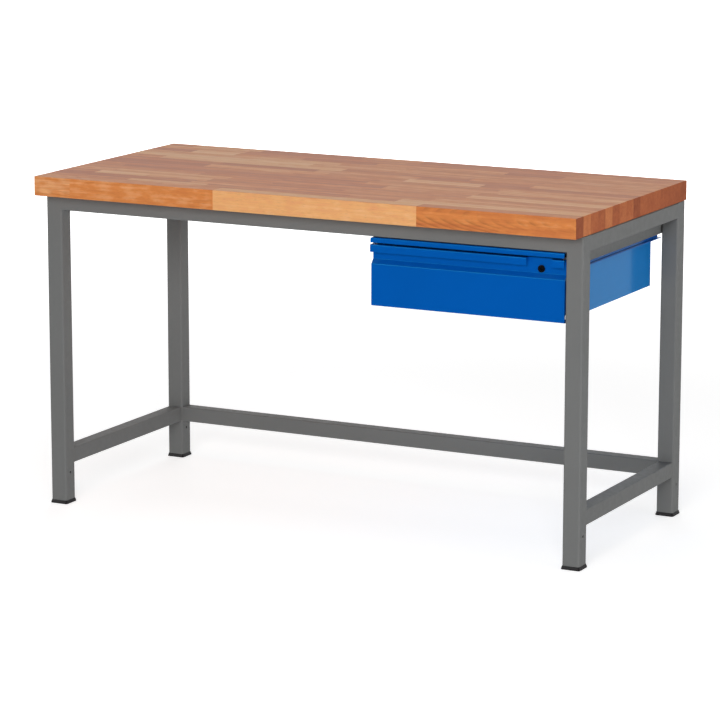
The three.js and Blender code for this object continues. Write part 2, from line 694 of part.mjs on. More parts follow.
for (const [name, side] of Object.entries(SIDES)) {
  let halfHeight = SLIDE_HEIGHT / 2;
  for (const layer of slideLayers) {
    place(unit, `slide_${name}_${layer.name}`, channel(side, layer, halfHeight), zinc, 0, 0, slideZ);
    halfHeight -= layer.sheet + SLIDE_RUNNING_GAP;
  }
}

// Drawer box: an open tray with hems folded inwards along the sides and the back
function drawerBox() {
  const middleY = (boxFrontY + boxBackY) / 2;
  const innerWidth = 2 * (boxHalf - BOX_SHEET);
  const innerDepth = boxDepth - 2 * BOX_SHEET;
  const outer = alongZ(roundedRectangle(2 * boxHalf, boxDepth, BOX_CORNER_RADIUS), frontBottom, boxTop);
  const hollowRadius = innerRadius(BOX_CORNER_RADIUS, BOX_SHEET);
  const hollow = alongZ(
    roundedRectangle(innerWidth, innerDepth, hollowRadius),
    frontBottom + BOX_SHEET,
    boxTop - BOX_SHEET,
  );
  const mouthOutline = roundedRectangle(innerWidth - 2 * BOX_HEM, innerDepth - BOX_HEM, hollowRadius);
  const mouth = alongZ(mouthOutline, boxTop - BOX_SHEET - OVERCUT, boxTop + OVERCUT);
  mouth.translate(0, -BOX_HEM / 2, 0);
  const tray = cut(outer, [hollow, mouth]).translate(0, middleY, 0);
  const drillFrontY = boxFrontY - OVERCUT;
  const drillBackY = boxFrontY + BOX_SHEET + OVERCUT;
  return cut(tray, [drillY(holeFor(LOCK_BODY_DIAMETER), lockX, lockZ, drillFrontY, drillBackY)]);
}

place(unit, "drawer_box", drawerBox(), blueCoat);

// Drawer front: face, slope, neck and grip lip in one fold, with side returns and a bay for the lock
const returnBackY = boxFrontY - FRONT_RETURN_GAP;
const bufferFrontY = FACE_SETBACK + FRONT_SHEET + BUFFER_MARGIN;
const bufferLow = frontBottom + BUFFER_RISE;

function drawerFront() {
  const half = FRONT_SHEET / 2;
  const path = pathOf(
    [returnBackY, frontBottom + half],
    [FACE_SETBACK + half, frontBottom + half],
    [FACE_SETBACK + half, frontBottom + FACE_HEIGHT],
    [neckY + half, frontBottom + FACE_HEIGHT + SLOPE_HEIGHT],
    [neckY + half, frontTop - half],
    [lipY + half, frontTop - half],
    [lipY + half, frontTop - LIP_HEIGHT],
  );
  const pieces = [alongX(foldedSection(path, FRONT_SHEET, FRONT_BEND), -housingHalf, housingHalf)];
  const cuts = [];
  for (const side of Object.values(SIDES)) {
    const outerX = side * housingHalf;
    const innerX = side * (housingHalf - FRONT_SHEET);
    const high = frontBottom + FACE_HEIGHT - FRONT_BEND;
    pieces.push(block(innerX, outerX, FACE_SETBACK + half, returnBackY, frontBottom + half, high));
    const notchX = side * (housingHalf - FRONT_SHEET - OVERCUT);
    const notchHigh = bufferLow + BUFFER_HEIGHT;
    cuts.push(block(notchX, outerX + side, bufferFrontY, returnBackY + OVERCUT, bufferLow, notchHigh));
  }
  const bayLow = frontTop - LIP_HEIGHT - OVERCUT;
  const bayX0 = lockX - LOCK_BAY_WIDTH / 2;
  cuts.push(block(bayX0, bayX0 + LOCK_BAY_WIDTH, lipY - OVERCUT, neckY, bayLow, frontTop + OVERCUT));
  cuts.push(drillY(holeFor(LOCK_BODY_DIAMETER), lockX, lockZ, neckY - OVERCUT, boxFrontY + OVERCUT));
  return cut(join(pieces), cuts);
}

place(unit, "drawer_front", drawerFront(), blueCoat);

function buffer() {
  const width = BUFFER_HOLD + FRONT_SHEET + BUFFER_PROUD;
  const height = BUFFER_HEIGHT - 2 * FIT;
  const outline = roundedRectangle(width, height, BUFFER_PROUD);
  return alongY(outline, bufferFrontY + FIT, returnBackY);
}

for (const [name, side] of Object.entries(SIDES)) {
  const x = side * (housingHalf + (BUFFER_PROUD - BUFFER_HOLD - FRONT_SHEET) / 2);
  place(unit, `front_buffer_${name}`, buffer(), whiteNylon, x, 0, bufferLow + BUFFER_HEIGHT / 2);
}

// Lock: Y runs inwards from the neck's front face
const lock = new THREE.Group();
lock.position.set(lockX, neckY, lockZ);
unit.add(lock);

const plugBore = LOCK_PLUG_DIAMETER / 2 + FIT;
const rose = LOCK_ROSE_DIAMETER / 2;
const barrel = LOCK_BODY_DIAMETER / 2;
const plugBackY = LOCK_BODY_LENGTH + FIT;
const tangBackY = plugBackY + CAM_SHEET;

function lockBody() {
  return turned(
    ROUND_STEPS,
    [plugBore, -LOCK_ROSE_HEIGHT],
    [rose - LOCK_ROSE_EDGE, -LOCK_ROSE_HEIGHT],
    [rose, LOCK_ROSE_EDGE - LOCK_ROSE_HEIGHT],
    [rose, 0],
    [barrel, 0],
    [barrel, LOCK_BODY_LENGTH],
    [plugBore, LOCK_BODY_LENGTH],
    [plugBore, -LOCK_ROSE_HEIGHT],
  );
}

function lockPlug() {
  const radius = LOCK_PLUG_DIAMETER / 2;
  const tang = LOCK_TANG_DIAMETER / 2;
  const screwBore = CAM_SCREW_DIAMETER / 2 + FIT;
  const frontY = -LOCK_ROSE_HEIGHT - LOCK_PLUG_PROUD;
  const plug = turned(
    ROUND_STEPS,
    [0, frontY],
    [radius, frontY],
    [radius, plugBackY],
    [tang, plugBackY],
    [tang, tangBackY],
    [screwBore, tangBackY],
    [screwBore, tangBackY - CAM_SCREW_BITE - FIT],
    [0, tangBackY - CAM_SCREW_BITE - FIT],
  );
  const keyway = new THREE.BoxGeometry(KEYWAY_WIDTH, 2 * KEYWAY_DEPTH, KEYWAY_HEIGHT);
  return cut(plug, [keyway.rotateY(KEYWAY_ANGLE).translate(0, frontY, 0)]);
}

function lockNut() {
  const corner = LOCK_NUT_WIDTH / Math.sqrt(3);
  const corners = Array.from({ length: 6 }, (_, side) => [
    corner * Math.cos((side * Math.PI) / 3),
    corner * Math.sin((side * Math.PI) / 3),
  ]);
  const outline = new THREE.Shape(pathOf(...corners));
  const seatY = FRONT_SHEET + BOX_SHEET;
  const blank = alongY(outline, seatY, seatY + LOCK_NUT_HEIGHT);
  const backY = seatY + LOCK_NUT_HEIGHT;
  return cut(blank, [drillY(holeFor(LOCK_BODY_DIAMETER), 0, 0, seatY - OVERCUT, backY + OVERCUT)]);
}

// Cam: a hub and a narrower tip, pointing to the left when unlocked
function lockCam() {
  const tipX = CAM_TIP_RADIUS - CAM_LENGTH;
  const lean = Math.asin((CAM_HUB_RADIUS - CAM_TIP_RADIUS) / -tipX);
  const quarter = Math.PI / 2;
  const outline = new THREE.Shape();
  outline.absarc(0, 0, CAM_HUB_RADIUS, -quarter - lean, quarter + lean, false);
  outline.absarc(tipX, 0, CAM_TIP_RADIUS, quarter + lean, 3 * quarter - lean, false);
  outline.closePath();
  const blank = alongY(outline, plugBackY, plugBackY + CAM_SHEET);
  return cut(blank, [drillY(holeFor(LOCK_TANG_DIAMETER), 0, 0, plugBackY - OVERCUT, tangBackY + OVERCUT)]);
}

place(lock, "lock_body", lockBody(), blackLock);
place(lock, "lock_plug", lockPlug(), blackLock);
place(lock, "lock_nut", lockNut(), zinc);
place(lock, "lock_cam", lockCam(), zinc);
const camScrew = screwAlongY(CAM_SCREW_DIAMETER, CAM_SCREW_BITE, CAM_SCREW_POINT, CAM_SCREW_TIP);
place(lock, "lock_cam_screw", camScrew.rotateX(Math.PI), zinc, 0, tangBackY, 0);

// Keeper under the housing's ceiling, in front of the raised cam
function keeper() {
  const leafY = camY - KEEPER_GAP - KEEPER_SHEET / 2;
  const flangeZ = housingCeiling - KEEPER_SHEET / 2;
  const path = pathOf(
    [leafY + KEEPER_SHEET / 2 - KEEPER_FLANGE, flangeZ],
    [leafY, flangeZ],
    [leafY, boxTop + KEEPER_BOX_CLEARANCE],
  );
  const section = foldedSection(path, KEEPER_SHEET, KEEPER_BEND);
  return alongX(section, lockX - KEEPER_WIDTH / 2, lockX + KEEPER_WIDTH / 2);
}

place(unit, "lock_keeper", keeper(), zinc);

export default bench;
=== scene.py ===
# %% [markdown]
# # A workbench: looks around a measured frame
#
# The solids of the bench come from the CAD model: tubes, folded sheets, slides and the lock, each
# at its real size. This lesson gives them their surfaces. Where a surface needs its own mesh, as
# the glued worktop does, a new piece is modelled and takes the place of the plain solid.

# %% Load the frame
import json
import math
import random

import bmesh
import bpy
from mathutils import Matrix, Vector

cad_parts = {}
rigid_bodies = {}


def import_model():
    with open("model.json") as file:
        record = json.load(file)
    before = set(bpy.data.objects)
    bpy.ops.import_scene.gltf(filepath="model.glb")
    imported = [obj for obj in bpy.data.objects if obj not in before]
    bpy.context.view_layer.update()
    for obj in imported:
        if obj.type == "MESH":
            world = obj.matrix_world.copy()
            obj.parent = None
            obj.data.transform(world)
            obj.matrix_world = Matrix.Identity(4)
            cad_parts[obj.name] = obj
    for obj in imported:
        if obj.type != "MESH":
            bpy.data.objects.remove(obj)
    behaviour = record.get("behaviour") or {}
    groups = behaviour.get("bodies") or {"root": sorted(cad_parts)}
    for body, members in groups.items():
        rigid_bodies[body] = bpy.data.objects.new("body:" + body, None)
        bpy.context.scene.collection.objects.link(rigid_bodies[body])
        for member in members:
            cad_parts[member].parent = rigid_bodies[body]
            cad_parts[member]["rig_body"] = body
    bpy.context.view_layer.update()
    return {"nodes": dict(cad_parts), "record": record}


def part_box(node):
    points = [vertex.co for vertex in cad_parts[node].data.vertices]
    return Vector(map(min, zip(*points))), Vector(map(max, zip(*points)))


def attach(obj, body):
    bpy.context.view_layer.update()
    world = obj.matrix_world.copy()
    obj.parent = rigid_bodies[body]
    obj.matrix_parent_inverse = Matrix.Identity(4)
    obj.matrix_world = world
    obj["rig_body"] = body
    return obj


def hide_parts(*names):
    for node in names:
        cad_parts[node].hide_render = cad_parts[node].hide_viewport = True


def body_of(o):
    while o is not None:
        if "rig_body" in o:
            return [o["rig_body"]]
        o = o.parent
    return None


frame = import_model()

nodes = frame["nodes"]
print("nodes in the frame:", len(nodes))

# %% [markdown]
# ## Camera
#
# The picture was taken from the right of the bench, a little above the worktop, with a long lens.
# The angles below turn a camera that first looks along +Y: about the vertical, then down, then by a
# hair about its own axis. There is no lens shift, so turning the camera elsewhere keeps the bench
# in view.

# %% Camera
CAMERA_SPOT = Vector((3.78292, -7.36631, 2.07877))
CAMERA_YAW = 0.47416
CAMERA_PITCH = 0.20062
CAMERA_ROLL = 0.00094
CAMERA_LENS = 164.96
SENSOR_WIDTH = 36.0

camera_data = bpy.data.cameras.new("camera")
camera_data.lens = CAMERA_LENS
camera_data.sensor_width = SENSOR_WIDTH
camera = bpy.data.objects.new("camera", camera_data)
bpy.context.scene.collection.objects.link(camera)
turn = Matrix.Rotation(CAMERA_YAW, 4, "Z")
tilt = Matrix.Rotation(math.pi / 2 - CAMERA_PITCH, 4, "X")
roll = Matrix.Rotation(CAMERA_ROLL, 4, "Z")
camera.matrix_world = Matrix.Translation(CAMERA_SPOT) @ turn @ tilt @ roll
bpy.context.scene.camera = camera
print("camera at", tuple(round(value, 3) for value in CAMERA_SPOT))

# %% [markdown]
# ## Helpers for node trees
#
# A finish is a small network: a position goes in, noises and ramps turn it into colour, roughness
# and bump. Built node by node it would be long and hard to read, so short helpers add one node each
# and return its output. A value that is the same all over a surface is set on the shader's own
# socket and not through a node.


# %% Start of a finish
def start_finish(name, roughness=0.5, metallic=0.0, ior=1.45):
    """Starts a material and returns it with its tree and its shader."""
    material = bpy.data.materials.new(name)
    material.use_nodes = True
    tree = material.node_tree
    shader = tree.nodes["Principled BSDF"]
    shader.inputs["Roughness"].default_value = roughness
    shader.inputs["Metallic"].default_value = metallic
    shader.inputs["IOR"].default_value = ior
    return material, tree, shader


def feed(tree, socket, value):
    """Links a socket to another one, or sets it to a plain value."""
    if isinstance(value, bpy.types.NodeSocket):
        tree.links.new(value, socket)
    else:
        socket.default_value = value


def object_place(tree):
    """The position on the piece, in metres."""
    return tree.nodes.new("ShaderNodeTexCoord").outputs["Object"]


def attribute(tree, name, output):
    """A value that the faces of a mesh carry."""
    node = tree.nodes.new("ShaderNodeAttribute")
    node.attribute_name = name
    return node.outputs[output]


print("finishes can start")


# %% Numbers and noises
NOISE_MIDDLE = (0.3, 0.7)
NOISE_WIDE = (0.25, 0.75)
EVEN = Vector((1.0, 1.0, 1.0))


def calc(tree, operation, first, second=0.0):
    """One step of arithmetic."""
    node = tree.nodes.new("ShaderNodeMath")
    node.operation = operation
    feed(tree, node.inputs[0], first)
    feed(tree, node.inputs[1], second)
    return node.outputs[0]


def split(tree, vector):
    """The three parts of a vector, by the names X, Y and Z."""
    node = tree.nodes.new("ShaderNodeSeparateXYZ")
    feed(tree, node.inputs[0], vector)
    return node.outputs


def remap(tree, value, low, high, to_low, to_high):
    """Takes a value from one range to another, with soft ends."""
    node = tree.nodes.new("ShaderNodeMapRange")
    node.interpolation_type = "SMOOTHSTEP"
    feed(tree, node.inputs["Value"], value)
    ends = {"From Min": low, "From Max": high, "To Min": to_low, "To Max": to_high}
    for name, number in ends.items():
        node.inputs[name].default_value = number
    return node.outputs["Result"]


def grain(tree, place, scale, detail=2.0, roughness=0.5):
    """A noise that is stretched by a scale for each axis, in cycles per metre."""
    mapping = tree.nodes.new("ShaderNodeMapping")
    mapping.inputs["Scale"].default_value = scale
    feed(tree, mapping.inputs["Vector"], place)
    noise = tree.nodes.new("ShaderNodeTexNoise")
    noise.inputs["Scale"].default_value = 1.0
    noise.inputs["Detail"].default_value = detail
    noise.inputs["Roughness"].default_value = roughness
    feed(tree, noise.inputs["Vector"], mapping.outputs["Vector"])
    return noise.outputs["Fac"]


def vary(tree, noise, to_low, to_high, span=NOISE_MIDDLE):
    """Takes a noise, which mostly stays around its middle, to a range."""
    return remap(tree, noise, *span, to_low, to_high)


print("noises ready")


# %% Colour and relief
def ramp(tree, value, *stops):
    """Turns a value into a colour, by stops from dark to light."""
    node = tree.nodes.new("ShaderNodeValToRGB")
    elements = node.color_ramp.elements
    while len(elements) < len(stops):
        elements.new(0.5)
    for element, (position, color) in zip(elements, stops):
        element.position = position
        element.color = (*color, 1.0)
    feed(tree, node.inputs["Fac"], value)
    return node.outputs["Color"]


def shade(tree, color, factor):
    """Multiplies a colour by a grey factor."""
    node = tree.nodes.new("ShaderNodeVectorMath")
    node.operation = "SCALE"
    feed(tree, node.inputs[0], color)
    feed(tree, node.inputs["Scale"], factor)
    return node.outputs["Vector"]


def emboss(tree, shader, height, depth, strength):
    """Gives a surface a relief of a depth in metres."""
    node = tree.nodes.new("ShaderNodeBump")
    node.inputs["Strength"].default_value = strength
    node.inputs["Distance"].default_value = depth
    feed(tree, node.inputs["Height"], height)
    tree.links.new(node.outputs["Normal"], shader.inputs["Normal"])


print("colour and relief ready")

# %% [markdown]
# ## Growth rings
#
# The worktop is glued from sticks of steamed beech. Real boards show growth rings as cones around
# the tree's heart. A picture of wood would repeat and would not turn the corner, so each stick
# stores where its heart lies and how much it leans. The distance to that heart gives rings on the
# end grain and long flames on the sides from one formula. A seed shifts the noises, so that no two
# sticks look alike.

# %% Growth rings
SEED_STEPS = {"X": 31.0, "Y": 17.0, "Z": 23.0}
RING_SPACING = 0.0036
RING_WANDER = 0.007
WANDER_SCALE = (3.0, 16.0, 16.0)
LATE_WOOD_START = 0.3
LATE_WOOD_PEAK = 0.85
RING_PATCH_SCALE = (3.0, 22.0, 22.0)
RING_PATCH_EDGE = (0.46, 0.62)


def own_place(tree, place):
    """Moves the pattern by the seed of the stick."""
    seed = attribute(tree, "stave_seed", "Fac")
    step = tree.nodes.new("ShaderNodeCombineXYZ")
    for axis, length in SEED_STEPS.items():
        feed(tree, step.inputs[axis], calc(tree, "MULTIPLY", seed, length))
    moved = tree.nodes.new("ShaderNodeVectorMath")
    feed(tree, moved.inputs[0], place)
    feed(tree, moved.inputs[1], step.outputs[0])
    return moved.outputs[0]


def growth_rings(tree, place, own):
    """How dark the late wood is, from the distance to the heart of the stick."""
    spot = split(tree, place)
    heart = split(tree, attribute(tree, "stave_heart", "Vector"))
    lean = calc(tree, "MULTIPLY", spot["X"], heart["X"])
    across = calc(tree, "SUBTRACT", calc(tree, "SUBTRACT", spot["Y"], heart["Y"]), lean)
    above = calc(tree, "SUBTRACT", spot["Z"], heart["Z"])
    squares = [calc(tree, "MULTIPLY", length, length) for length in (across, above)]
    distance = calc(tree, "SQRT", calc(tree, "ADD", *squares))
    wander = calc(tree, "MULTIPLY", grain(tree, own, WANDER_SCALE), RING_WANDER)
    radius = calc(tree, "ADD", distance, wander)
    ring = calc(tree, "FRACT", calc(tree, "DIVIDE", radius, RING_SPACING))
    rise = remap(tree, ring, LATE_WOOD_START, LATE_WOOD_PEAK, 0.0, 1.0)
    fall = remap(tree, ring, LATE_WOOD_PEAK, 1.0, 1.0, 0.0)
    patch = remap(tree, grain(tree, own, RING_PATCH_SCALE), *RING_PATCH_EDGE, 0.0, 1.0)
    strength = calc(tree, "MULTIPLY", patch, attribute(tree, "stave_rings", "Fac"))
    return calc(tree, "MULTIPLY", calc(tree, "MULTIPLY", rise, fall), strength)


print("ring spacing in mm:", RING_SPACING * 1000)

# %% [markdown]
# ## Beech
#
# Each stick has its own tone, and streaks, thin lines and a mottle drift around it. Fine fibres and
# the short dark flecks of beech lie on top, and both press into the surface a little. End grain
# drinks more oil than the sides, so the ends get the same network with deeper colours and less
# gloss.

# %% Tone of a stick
STREAK_SCALE = (1.6, 42.0, 42.0)
STREAK_TONE = 0.24
LINE_SCALE = (3.2, 150.0, 150.0)
LINE_TONE = 0.2
MOTTLE_SCALE = (26.0, 70.0, 70.0)
MOTTLE_TONE = 0.12


def stave_tone(tree, own, figure):
    """The tone of a stick with its streaks, lines and mottle."""
    streaks = grain(tree, own, STREAK_SCALE, detail=3.0)
    streaks = vary(tree, streaks, -STREAK_TONE * figure, STREAK_TONE * figure, NOISE_WIDE)
    lines = grain(tree, own, LINE_SCALE)
    lines = vary(tree, lines, -LINE_TONE * figure, LINE_TONE * figure)
    mottle = grain(tree, own, MOTTLE_SCALE)
    mottle = vary(tree, mottle, -MOTTLE_TONE * figure, MOTTLE_TONE * figure)
    drawn = calc(tree, "ADD", streaks, lines)
    drawn = calc(tree, "MULTIPLY", drawn, attribute(tree, "stave_figure", "Fac"))
    tone = calc(tree, "ADD", attribute(tree, "stave_tone", "Fac"), drawn)
    return calc(tree, "ADD", tone, mottle)


print("tone of streaks and lines:", STREAK_TONE, LINE_TONE)

# %% Beech
SIDE_TONES = (
    (0.0, (0.41, 0.106, 0.022)),
    (0.2, (0.46, 0.128, 0.034)),
    (0.5, (0.60, 0.202, 0.049)),
    (0.68, (0.69, 0.315, 0.130)),
    (0.8, (0.71, 0.350, 0.130)),
    (1.0, (0.77, 0.420, 0.210)),
)
END_TONES = (
    (0.0, (0.20, 0.048, 0.022)),
    (0.5, (0.37, 0.102, 0.038)),
    (1.0, (0.53, 0.185, 0.068)),
)
EARLY_WOOD = 1.02
FIBRE_SCALE = (10.0, 520.0, 520.0)
FIBRE_SHADES = (0.95, 1.04)
FIBRE_ROUGHNESS = 0.12
FLECK_SCALE = (75.0, 650.0, 650.0)
FLECK_EDGE = (0.6, 0.7)
FLECK_SHADE = 0.88
FLECK_DEPTH = 0.6
WOOD_RELIEF = 0.0001


def beech_finish(name, tones, figure, gloss, roughness):
    material, tree, shader = start_finish(name)
    shader.inputs["Specular IOR Level"].default_value = gloss
    place = object_place(tree)
    own = own_place(tree, place)
    fibre = grain(tree, own, FIBRE_SCALE, detail=3.0, roughness=0.6)
    fleck = remap(tree, grain(tree, own, FLECK_SCALE, detail=1.0), *FLECK_EDGE, 0.0, 1.0)
    color = ramp(tree, stave_tone(tree, own, figure), *tones)
    color = shade(tree, color, calc(tree, "SUBTRACT", EARLY_WOOD, growth_rings(tree, place, own)))
    color = shade(tree, color, vary(tree, fibre, *FIBRE_SHADES))
    color = shade(tree, color, remap(tree, fleck, 0.0, 1.0, 1.0, FLECK_SHADE))
    feed(tree, shader.inputs["Base Color"], color)
    rough = vary(tree, fibre, roughness, roughness + FIBRE_ROUGHNESS, NOISE_WIDE)
    feed(tree, shader.inputs["Roughness"], rough)
    relief = calc(tree, "SUBTRACT", fibre, calc(tree, "MULTIPLY", fleck, FLECK_DEPTH))
    emboss(tree, shader, relief, WOOD_RELIEF, strength=0.5)
    return material


beech = beech_finish("beech", SIDE_TONES, figure=0.7, gloss=0.47, roughness=0.4)
beech_end = beech_finish("beech_end", END_TONES, figure=0.35, gloss=0.2, roughness=0.6)
print("finishes:", beech.name, beech_end.name)

# %% [markdown]
# ## Coated steel
#
# Powder coat is never quite even: it flows into a faint orange peel and its tone drifts by a few
# per cent. One flat colour would look like paper, so noises of four sizes drive tone, gloss and
# relief. The grey coat on the tubes is satin. The blue one on the drawer is smooth enough to mirror
# a leg, and its gloss is tinted, so it stays deep seen from the front and turns pale only at a flat
# angle. The box behind the front gets a lighter blue that leans towards green: painted light, which
# stands in for the light on the box's side.

# %% Grey and blue coats
GREY_COAT = (0.147, 0.15, 0.148)
GREY_GLOSS = (1.0, 1.0, 1.0, 1.0)
BLUE_COAT = (0.0005, 0.082, 0.39)
# The drawer box's lighter blue is painted light: it stands in for the light on the box's side.
BOX_COAT_PAINTED_LIGHT = (0.0005, 0.16, 0.48)
BLUE_GLOSS = (0.05, 0.9, 1.0, 1.0)
BLUE_SURFACE = {"roughness": 0.13, "ior": 1.6, "peel_depth": 0.00002}
DRIFT_SCALE = 5.0 * EVEN
CLOUD_SCALE = 70.0 * EVEN
PEEL_SCALE = 420.0 * EVEN
SPECK_SCALE = 1900.0 * EVEN
COAT_DRIFT = 0.02
COAT_ROUGHNESS_DRIFT = 0.1


def coat_finish(name, color, gloss, roughness, ior, peel_depth):
    material, tree, shader = start_finish(name, ior=ior)
    shader.inputs["Specular Tint"].default_value = gloss
    place = object_place(tree)
    drift = vary(tree, grain(tree, place, DRIFT_SCALE, detail=3.0), -COAT_DRIFT, COAT_DRIFT)
    speck = grain(tree, place, SPECK_SCALE, detail=1.0)
    speck = vary(tree, speck, 1 - COAT_DRIFT, 1 + COAT_DRIFT)
    feed(tree, shader.inputs["Base Color"], shade(tree, color, calc(tree, "ADD", drift, speck)))
    smooth = roughness * (1 - COAT_ROUGHNESS_DRIFT)
    rough = roughness * (1 + COAT_ROUGHNESS_DRIFT)
    cloud = grain(tree, place, CLOUD_SCALE)
    feed(tree, shader.inputs["Roughness"], vary(tree, cloud, smooth, rough))
    emboss(tree, shader, grain(tree, place, PEEL_SCALE), peel_depth, strength=0.6)
    return material


grey_coat = coat_finish(
    "grey_coat", GREY_COAT, GREY_GLOSS, roughness=0.55, ior=1.36, peel_depth=0.00008,
)
blue_coat = coat_finish("blue_coat", BLUE_COAT, BLUE_GLOSS, **BLUE_SURFACE)
# A lighter copy of the blue coat for the drawer box: painted light for its lit side.
box_coat_painted_light = coat_finish("box_coat_painted_light", BOX_COAT_PAINTED_LIGHT, BLUE_GLOSS, **BLUE_SURFACE)
print("finishes:", grey_coat.name, blue_coat.name, box_coat_painted_light.name)

# %% [markdown]
# ## Plastic, zinc and black lock
#
# The feet are moulded with a fine matt grain, the buffers are cloudy nylon, and the lock is a
# smooth black that hardly shines. One function makes all three, since only colour, gloss and grain
# differ. The slides and screws are zinc plated: a metal with soft patches and thin rolling lines
# along their length, which needs a network of its own.

# %% Moulded finishes
BLACK_PLASTIC = (0.009, 0.008, 0.009)
WHITE_NYLON = (0.9, 0.9, 0.88)
LOCK_BLACK = (0.003, 0.003, 0.004)
MOULD_CLOUD_SCALE = 120.0 * EVEN
MOULD_SKIN_SCALE = 2600.0 * EVEN
MOULD_SHADES = (0.88, 1.08)
MOULD_ROUGHNESS_DRIFT = 0.15


def moulded_finish(name, color, roughness, grain_depth, ior=1.4):
    material, tree, shader = start_finish(name, ior=ior)
    place = object_place(tree)
    cloud = grain(tree, place, MOULD_CLOUD_SCALE, detail=3.0)
    skin = grain(tree, place, MOULD_SKIN_SCALE, detail=1.0)
    feed(tree, shader.inputs["Base Color"], shade(tree, color, vary(tree, cloud, *MOULD_SHADES)))
    smooth = roughness * (1 - MOULD_ROUGHNESS_DRIFT)
    rough = roughness * (1 + MOULD_ROUGHNESS_DRIFT)
    feed(tree, shader.inputs["Roughness"], vary(tree, cloud, smooth, rough))
    emboss(tree, shader, skin, grain_depth, strength=0.7)
    return material


black_plastic = moulded_finish("black_plastic", BLACK_PLASTIC, roughness=0.5, grain_depth=0.00008)
white_nylon = moulded_finish("white_nylon", WHITE_NYLON, roughness=0.4, grain_depth=0.00003)
lock_black = moulded_finish("lock_black", LOCK_BLACK, roughness=0.3, grain_depth=0.00001, ior=1.27)
print("finishes:", black_plastic.name, white_nylon.name, lock_black.name)

# %% Zinc
ZINC = (0.56, 0.57, 0.58)
ZINC_PATCH_SCALE = 45.0 * EVEN
ZINC_ROLL_SCALE = (900.0, 6.0, 900.0)
ZINC_SHADES = (0.86, 1.06)
ZINC_ROUGHNESS = (0.28, 0.42)
ZINC_RELIEF = 0.00002


def zinc_finish():
    material, tree, shader = start_finish("zinc", metallic=1.0)
    place = object_place(tree)
    patch = grain(tree, place, ZINC_PATCH_SCALE, detail=4.0, roughness=0.65)
    rolled = grain(tree, place, ZINC_ROLL_SCALE)
    feed(tree, shader.inputs["Base Color"], shade(tree, ZINC, vary(tree, patch, *ZINC_SHADES)))
    feed(tree, shader.inputs["Roughness"], vary(tree, patch, *ZINC_ROUGHNESS))
    emboss(tree, shader, rolled, ZINC_RELIEF, strength=0.5)
    return material


finishes = {
    "beech": beech,
    "grey_coat": grey_coat,
    "blue_coat": blue_coat,
    "black_plastic": black_plastic,
    "white_nylon": white_nylon,
    "zinc": zinc_finish(),
    "black_lock": lock_black,
}
print("finishes:", ", ".join(finishes))

# %% [markdown]
# ## Dress the solids
#
# The record says which slot each node belongs to, so one loop can dress them all. The nut, the cam
# and the keeper of the lock stay plain solids, and only their material changes. The other solids
# are dressed too, and the next steps put finer pieces in their places.

# %% Finishes for the CAD nodes
slots = {part["node"]: part["material_slot"] for part in frame["record"]["subparts"]}


def finish_of(name):
    # The drawer box takes the lighter blue, which is painted light for its lit side.
    return box_coat_painted_light if name == "drawer_box" else finishes[slots[name]]


for name in slots:
    for material_slot in nodes[name].material_slots:
        material_slot.material = finish_of(name)
print("dressed nodes:", len(slots))

# %% [markdown]
# ## Smooth bends
#
# Tubes are drawn and sheets are folded, so the bends of the real bench are true curves. In the
# solids a bend is a few flat facets, which a polished coat would give away. A merged copy takes the
# place of such a solid: it has the same shape, but its bends are shaded as curves, while edges
# sharper than a bend stay crisp. Weighted normals keep the large faces flat, which costs nothing in
# faces.


# %% New pieces and their shading
SMOOTH_ANGLE = math.radians(30)


def new_piece(name, bm, materials, body):
    """Makes an object of a mesh that is finished, riding on a body."""
    mesh = bpy.data.meshes.new(name)
    bm.to_mesh(mesh)
    bm.free()
    for material in materials:
        mesh.materials.append(material)
    piece = bpy.data.objects.new(name, mesh)
    bpy.context.scene.collection.objects.link(piece)
    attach(piece, body)
    return piece


def soften(bm):
    """Marks edges that are sharper than a bend, and shades the rest smooth."""
    for face in bm.faces:
        face.smooth = True
    for edge in bm.edges:
        edge.smooth = edge.calc_face_angle(math.pi) < SMOOTH_ANGLE


def even_shading(piece):
    """Shades bends as curves and keeps large faces flat."""
    modifier = piece.modifiers.new("even_shading", "WEIGHTED_NORMAL")
    modifier.keep_sharp = True


def in_order(items):
    """Drops repeats and keeps the order."""
    return list(dict.fromkeys(items))


print("edges stay crisp from", round(math.degrees(SMOOTH_ANGLE)), "degrees")

# %% Smooth copies of tubes, sheets and slides
MERGE_DISTANCE = 1e-6
FLAT_ANGLE = math.radians(0.5)
SMOOTH_SLOTS = ("grey_coat", "blue_coat", "black_plastic", "white_nylon")


def smooth_copy(name):
    bm = bmesh.new()
    bm.from_mesh(nodes[name].data)
    bmesh.ops.remove_doubles(bm, verts=bm.verts, dist=MERGE_DISTANCE)
    bmesh.ops.dissolve_limit(bm, angle_limit=FLAT_ANGLE, verts=bm.verts, edges=bm.edges)
    soften(bm)
    body = body_of(nodes[name])[0]
    piece = new_piece(f"{name}_smooth", bm, (finish_of(name),), body)
    even_shading(piece)
    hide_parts(name)


smooth_names = [
    name for name, slot in slots.items() if slot in SMOOTH_SLOTS or name.startswith("slide_")
]
for name in smooth_names:
    smooth_copy(name)
print("smooth copies:", len(smooth_names))

# %% [markdown]
# ## Ground welds
#
# The upper rails are as deep as the legs, so on the real frame the weld between rail end and leg
# corner is ground flush and vanishes under the coat. In the solids the round corner of the leg
# leaves a groove there. The legs could be cut anew, but the solids stay as they are, so a small
# column fills each groove: it is a block whose lower edges are rounded like the rail's own.

# %% Weld columns
LEG_CORNER = 0.005
RAIL_CORNER = 0.004
CORNER_STEPS = 4
rail_low, rail_high = (corner.z for corner in map(Vector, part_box("upper_rail_front")))


